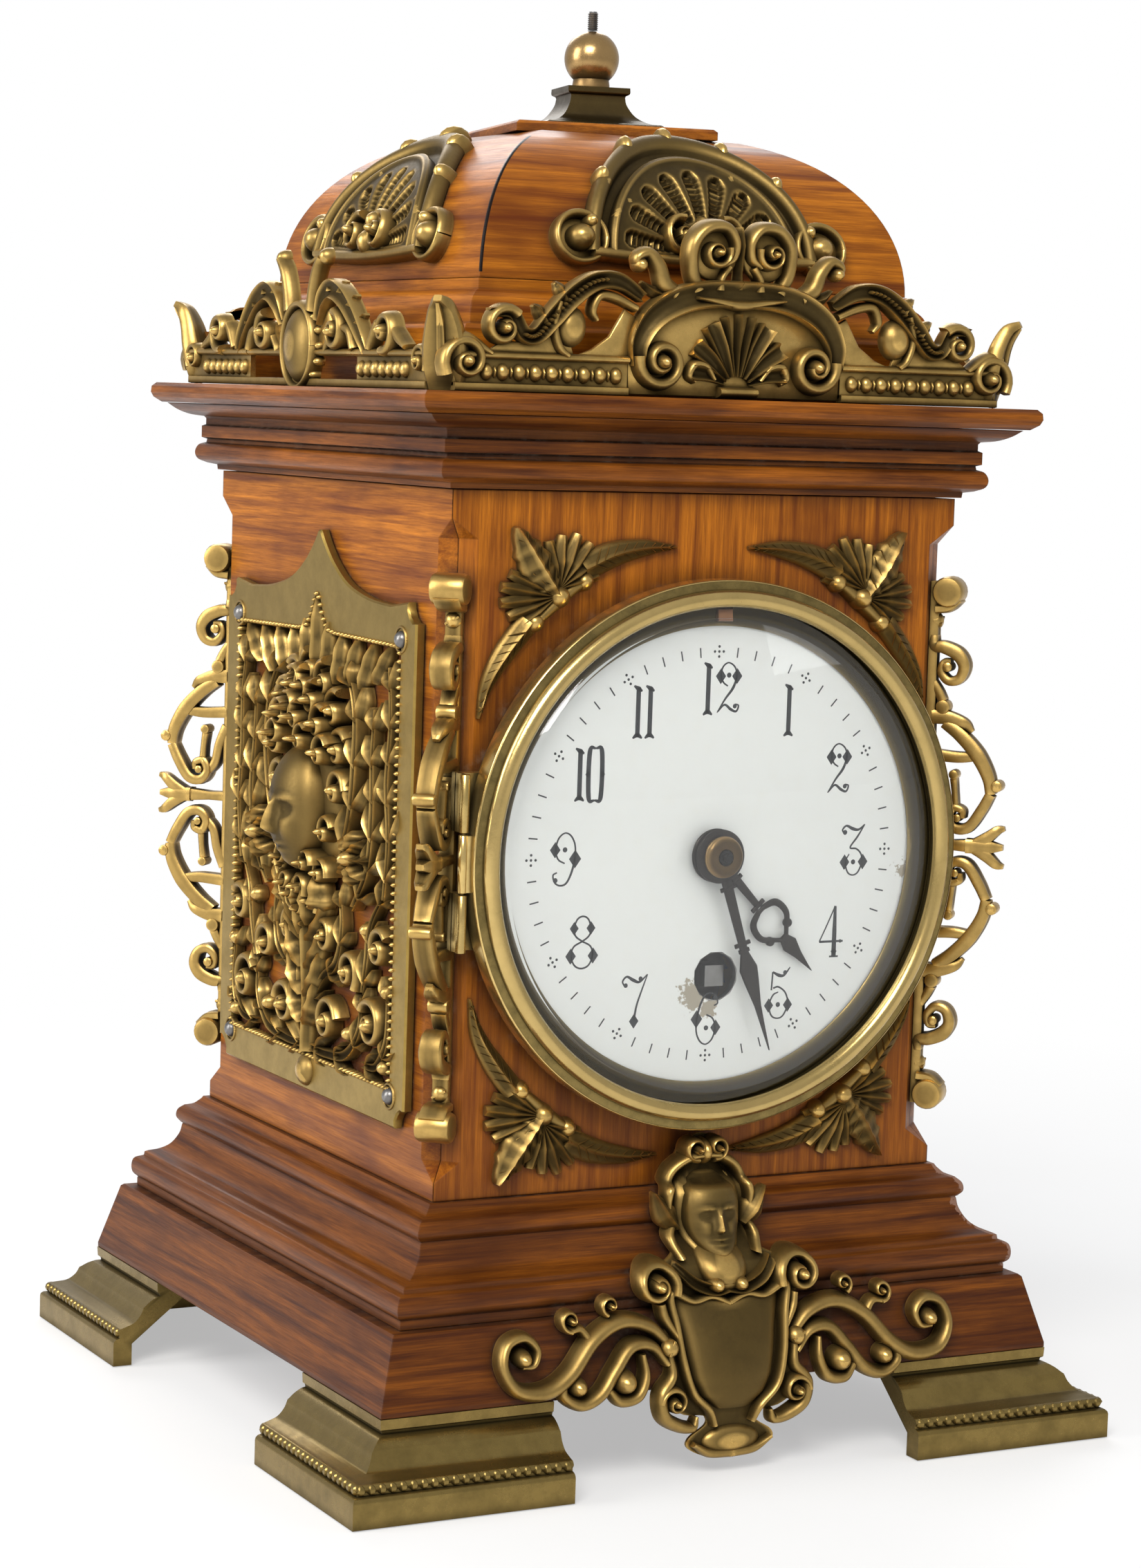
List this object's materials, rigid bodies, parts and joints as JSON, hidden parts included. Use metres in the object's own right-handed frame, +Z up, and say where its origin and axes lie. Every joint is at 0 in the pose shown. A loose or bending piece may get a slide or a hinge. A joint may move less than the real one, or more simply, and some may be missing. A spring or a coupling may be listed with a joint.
{
  "type": "bracket clock",
  "caption": "Square wooden table clock with domed top, cast brass gallery, corner mounts and finial, round enamel dial behind a hinged glazed bezel, and a hinged back door.",
  "frame": {"origin": "middle of the clock's plan, on the table", "axes": "+Z up, -Y out of the dial towards the viewer, +X to the viewer's right"},
  "size_m": [0.1468, 0.1468, 0.249],
  "materials": {
    "walnut": "polished honey-brown veneer",
    "aged_brass": "cast, dull olive-brown with rubbed high points",
    "movement_brass": "plain machined",
    "polished_brass": "polished",
    "dark_bronze": "dark patina, moulded",
    "steel": "plain",
    "darkened_steel": "darkened",
    "enamel": "fired white enamel",
    "clear_glass": "clear, domed, bevelled edge"
  },
  "bodies": {
    "case": {"plinth_skirt": "walnut", "base_moulding": "walnut", "front_board": "walnut", "left_side_board": "walnut", "right_side_board": "walnut", "back_board": "walnut", "cornice_moulding": "walnut", "top_board": "walnut", "dome_plinth": "walnut", "dome": "walnut", "dome_cap": "walnut", "finial_pedestal": "aged_brass", "finial_stud": "aged_brass", "gallery_front": "aged_brass", "gallery_back": "aged_brass", "gallery_left": "aged_brass", "gallery_right": "aged_brass", "dome_shell_front": "aged_brass", "dome_shell_left": "aged_brass", "dome_shell_right": "aged_brass", "spandrel_upper_left": "aged_brass", "spandrel_upper_right": "aged_brass", "spandrel_lower_left": "aged_brass", "spandrel_lower_right": "aged_brass", "side_fret_left": "aged_brass", "side_fret_right": "aged_brass", "front_cartouche": "aged_brass", "dial_pan": "aged_brass", "door_hinge_fixed": "aged_brass", "corner_mount_front_left": "aged_brass", "corner_mount_front_right": "aged_brass", "corner_mount_back_right": "aged_brass", "corner_mount_back_left": "aged_brass", "front_plate": "movement_brass", "back_plate": "movement_brass", "finial_ball": "polished_brass", "foot_front_left": "dark_bronze", "foot_front_right": "dark_bronze", "foot_back_right": "dark_bronze", "foot_back_left": "dark_bronze", "dial": "enamel"},
    "bezel_body": {"bezel": "polished_brass", "bezel_glass": "clear_glass"},
    "minute_body": {"centre_arbor": "steel", "minute_hand": "darkened_steel", "hand_collet": "polished_brass"},
    "hour_body": {"hour_wheel": "movement_brass", "hour_hand": "darkened_steel"},
    "minute_wheel_body": {"minute_wheel": "movement_brass"},
    "barrel_body": {"spring_barrel": "movement_brass"},
    "winding_body": {"winding_arbor": "steel"},
    "click_body": {"click": "steel"},
    "third_body": {"third_arbor": "steel"},
    "fourth_body": {"fourth_arbor": "steel"},
    "escape_body": {"escape_arbor": "steel"},
    "pallets_body": {"pallets": "steel"},
    "pendulum_body": {"pendulum": "movement_brass"},
    "door_body": {"back_door": "walnut", "door_knob": "polished_brass", "door_hinge_leaf": "aged_brass"}
  },
  "joints": [
    {"name": "bezel_hinge", "type": "hinge", "parent": "case", "child": "bezel_body", "pos_m": [-0.048, -0.0546, 0.1038], "axis": [0, 0, -1], "range_deg": [0, 110]},
    {"name": "door_hinge", "type": "hinge", "parent": "case", "child": "door_body", "pos_m": [0.03325, 0.0504, 0.1056], "axis": [0, 0, -1], "range_deg": [0, 110]},
    {"name": "minute_turn", "type": "hinge", "parent": "case", "child": "minute_body", "pos_m": [0, -0.055, 0.1038], "axis": [0, 1, 0], "continuous": true},
    {"name": "hour_turn", "type": "hinge", "parent": "case", "child": "hour_body", "pos_m": [0, -0.053, 0.1038], "axis": [0, 1, 0], "continuous": true},
    {"name": "minute_wheel_turn", "type": "hinge", "parent": "case", "child": "minute_wheel_body", "pos_m": [-0.00566, -0.045, 0.10946], "axis": [0, 1, 0], "continuous": true},
    {"name": "barrel_turn", "type": "hinge", "parent": "case", "child": "barrel_body", "pos_m": [0.0015, -0.035, 0.08285], "axis": [0, 1, 0], "continuous": true},
    {"name": "third_turn", "type": "hinge", "parent": "case", "child": "third_body", "pos_m": [0.0125, -0.03, 0.10929], "axis": [0, 1, 0], "continuous": true},
    {"name": "fourth_turn", "type": "hinge", "parent": "case", "child": "fourth_body", "pos_m": [0.00849, -0.03, 0.1206], "axis": [0, 1, 0], "continuous": true},
    {"name": "escape_turn", "type": "hinge", "parent": "case", "child": "escape_body", "pos_m": [0, -0.02, 0.1176], "axis": [0, 1, 0], "continuous": true},
    {"name": "winding_turn", "type": "hinge", "parent": "case", "child": "winding_body", "pos_m": [0.0015, -0.045, 0.08285], "axis": [0, 1, 0], "continuous": true},
    {"name": "click_swing", "type": "hinge", "parent": "case", "child": "click_body", "pos_m": [-0.0095, -0.044, 0.0843], "axis": [0, 1, 0], "range_deg": [0, 14]},
    {"name": "pendulum_swing", "type": "hinge", "parent": "case", "child": "pendulum_body", "pos_m": [0, -0.0038, 0.1298], "axis": [0, 1, 0], "range_deg": [-4, 4]},
    {"name": "pallets_swing", "type": "hinge", "parent": "case", "child": "pallets_body", "pos_m": [0, -0.02, 0.1298], "axis": [0, 1, 0], "range_deg": [-4, 4]}
  ],
  "couplings": [
    {"joint": "hour_turn", "follows": "minute_turn", "ratio": 0.083333},
    {"joint": "minute_wheel_turn", "follows": "minute_turn", "ratio": -0.33333},
    {"joint": "barrel_turn", "follows": "minute_turn", "ratio": -0.16667},
    {"joint": "third_turn", "follows": "minute_turn", "ratio": -6},
    {"joint": "fourth_turn", "follows": "minute_turn", "ratio": 42},
    {"joint": "escape_turn", "follows": "minute_turn", "ratio": -210},
    {"joint": "pallets_swing", "follows": "pendulum_swing", "ratio": 1}
  ]
}
